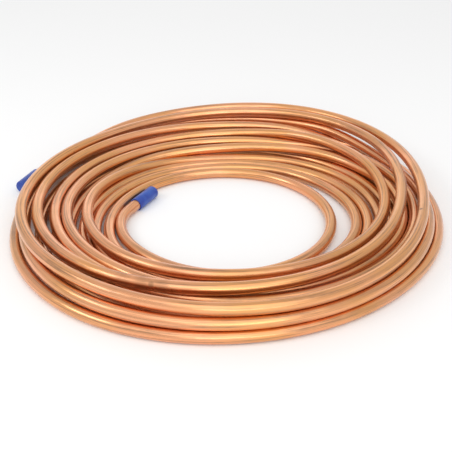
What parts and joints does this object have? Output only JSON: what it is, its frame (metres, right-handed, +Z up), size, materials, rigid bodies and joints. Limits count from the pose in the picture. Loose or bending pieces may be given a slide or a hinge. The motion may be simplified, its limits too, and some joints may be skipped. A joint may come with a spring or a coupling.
{
  "type": "copper tube coil",
  "caption": "Loose round coil of bright soft copper tube lying flat, wound in a few layers round an open eye, with a blue plug cap pushed over each end of the tube.",
  "frame": {"origin": "on the floor, in the middle of the coil", "axes": "+Z up out of the floor; the eye lies off the middle towards -Y, which is the coil's front; +X to the right seen from the front"},
  "size_m": [0.5088, 0.5079, 0.0383],
  "materials": {
    "copper": "bright drawn copper, semi-polished",
    "cap_vinyl": "smooth soft vinyl"
  },
  "bodies": {
    "root": {"copper_tube": "copper", "inner_end_cap": "cap_vinyl", "outer_end_cap": "cap_vinyl"}
  },
  "joints": []
}
